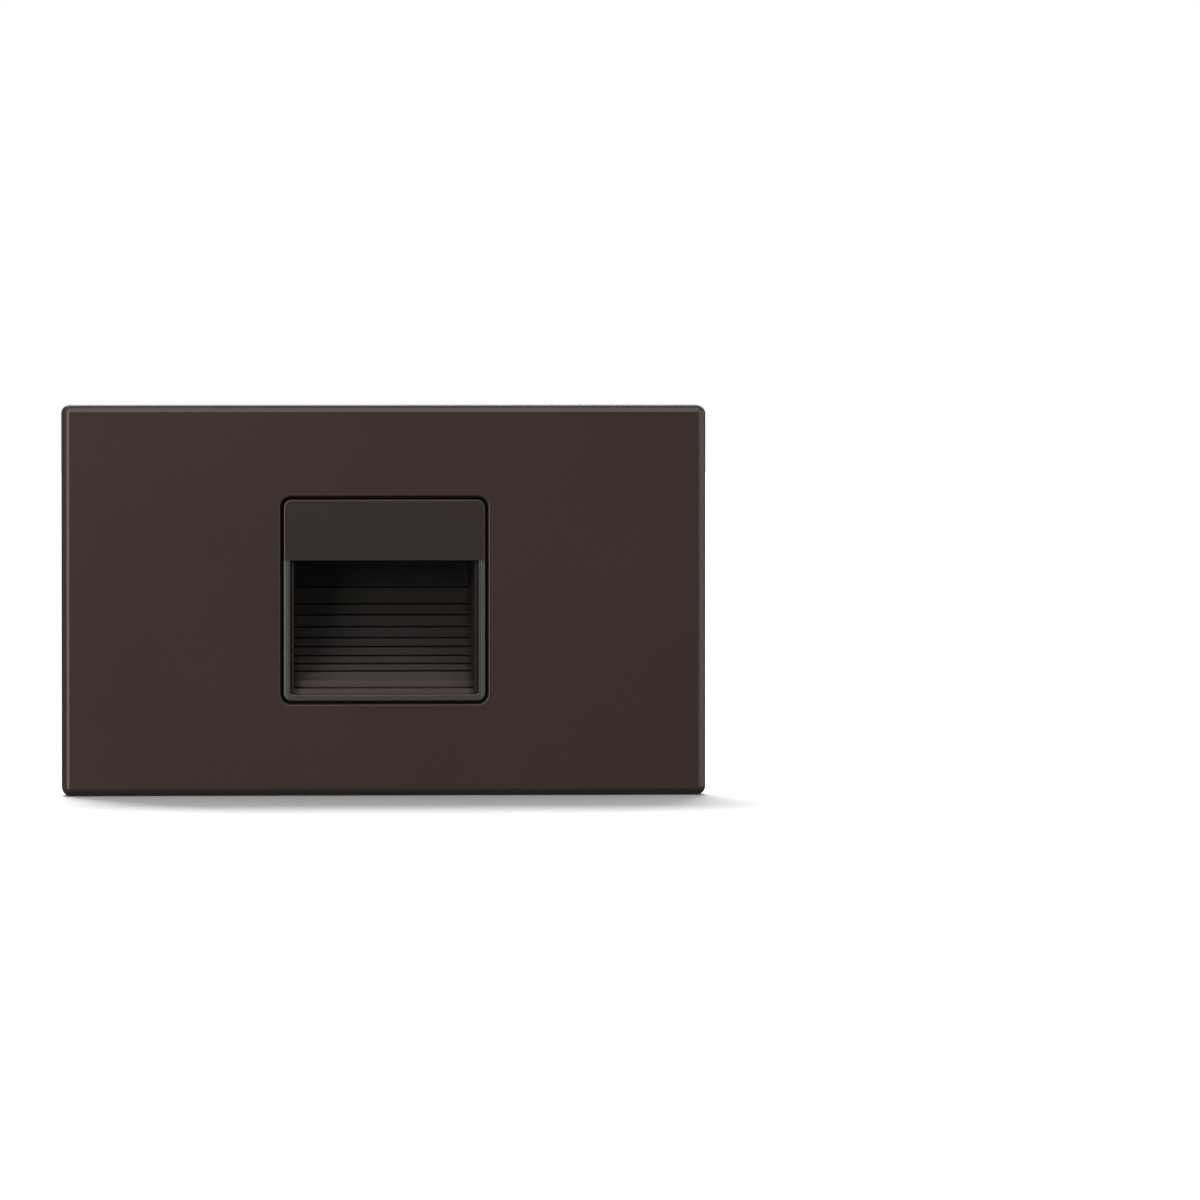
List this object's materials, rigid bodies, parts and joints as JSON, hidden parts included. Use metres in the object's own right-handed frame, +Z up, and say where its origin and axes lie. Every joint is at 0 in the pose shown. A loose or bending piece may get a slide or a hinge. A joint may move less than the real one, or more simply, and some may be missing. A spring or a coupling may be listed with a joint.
{
  "type": "recessed step light",
  "caption": "Recessed step light: a wide flat faceplate with rounded rim around a square hooded lamp head that shines down over a stepped recess, on a box yoke with a driver case.",
  "frame": {"origin": "on the wall plane, at the middle of the faceplate and half way between the two box screws", "axes": "+X to the right along the faceplate's long side, +Y into the wall, +Z up; the light faces -Y"},
  "size_m": [0.117, 0.0471, 0.071],
  "materials": {
    "bronze_paint": "satin dark bronze powder coat",
    "bronze_casting": "satin dark bronze powder coat on a die casting",
    "dark_plastic": "matt moulded plastic",
    "zinc_steel": "bright zinc plate",
    "black_steel": "black oxide",
    "green_steel": "green passivated steel",
    "foam": "closed cell foam",
    "silicone": "soft silicone",
    "black_rubber": "moulded rubber",
    "natural_nylon": "natural nylon",
    "frosted_lens": "frosted polycarbonate",
    "led_phosphor": "yellow phosphor in a white frame",
    "white_board": "white solder mask on aluminium",
    "green_board": "green solder mask",
    "thermal_grey": "soft filled silicone",
    "red_insulation": "drawn insulation",
    "black_insulation": "drawn insulation",
    "case_plastic": "fine textured moulding",
    "ferrite": "sintered",
    "bobbin_plastic": "glass filled moulding",
    "enamelled_copper": "enamelled wire",
    "yellow_film": "moulded case",
    "blue_coating": "dipped epoxy",
    "can_sleeve": "shrink sleeve on an aluminium can",
    "brown_moulding": "moulded case",
    "green_moulding": "moulded case",
    "black_moulding": "moulded epoxy"
  },
  "bodies": {
    "fixture": {"mounting_yoke": "zinc_steel", "box_screws": "zinc_steel", "ground_screw": "green_steel", "snap_bushes": "natural_nylon", "head_gasket": "black_rubber", "lamp_housing": "bronze_casting", "yoke_screws": "zinc_steel", "stepped_baffle": "dark_plastic", "lens_seal": "silicone", "diffuser_lens": "frosted_lens", "thermal_pad": "thermal_grey", "led_board": "white_board", "led_emitters": "led_phosphor", "led_board_screws": "zinc_steel", "led_lead_red": "red_insulation", "led_lead_black": "black_insulation", "lead_bushing": "black_rubber", "case_seal": "silicone", "driver_case": "case_plastic", "case_screws": "zinc_steel", "driver_board": "green_board", "driver_board_screws": "zinc_steel", "transformer_core": "ferrite", "transformer_bobbin": "bobbin_plastic", "transformer_winding": "enamelled_copper", "filter_inductor": "enamelled_copper", "surge_varistor": "blue_coating", "film_capacitor": "yellow_film", "output_capacitor": "can_sleeve", "input_fuse": "brown_moulding", "supply_terminal": "green_moulding", "bridge_rectifier": "black_moulding", "bulk_capacitor": "can_sleeve", "controller_chip": "black_moulding", "cover_seal": "silicone", "rear_cover": "case_plastic", "cover_screws": "black_steel", "inlet_grommet": "black_rubber"},
    "cover_plate": {"faceplate": "bronze_paint", "plate_studs": "zinc_steel", "foam_gasket": "foam"}
  },
  "joints": [
    {"name": "faceplate_pull", "type": "slide", "parent": "fixture", "child": "cover_plate", "axis": [0, -1, 0], "range_m": [0, 0.03]}
  ]
}
